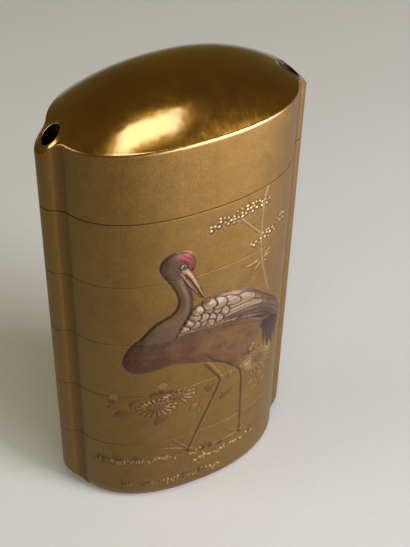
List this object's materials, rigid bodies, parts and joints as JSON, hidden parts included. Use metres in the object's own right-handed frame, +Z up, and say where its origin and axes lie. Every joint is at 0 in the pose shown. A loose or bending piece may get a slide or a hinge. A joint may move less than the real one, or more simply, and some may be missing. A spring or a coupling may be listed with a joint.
{
  "type": "inro case",
  "caption": "Lens-shaped lacquered stacking case with a domed lid, collared tiers and a cord bore at each end, with a crane in low relief.",
  "frame": {"origin": "middle of the flat foot under the base case, at the level that it stands on", "axes": "+Z up through the lid, +X towards the right cord runner, -Y out of the decorated face"},
  "size_m": [0.0464, 0.0246, 0.0925],
  "materials": {
    "gold_lacquer": "satin gold-powder lacquer on a thin wood core, with raised and inlaid decoration",
    "polished_lid": "dense gold lacquer polished almost to a mirror, finely scratched"
  },
  "bodies": {
    "root": {"lid": "polished_lid", "case_1": "gold_lacquer", "case_2": "gold_lacquer", "case_3": "gold_lacquer", "case_4": "gold_lacquer", "case_5": "gold_lacquer"}
  },
  "joints": []
}
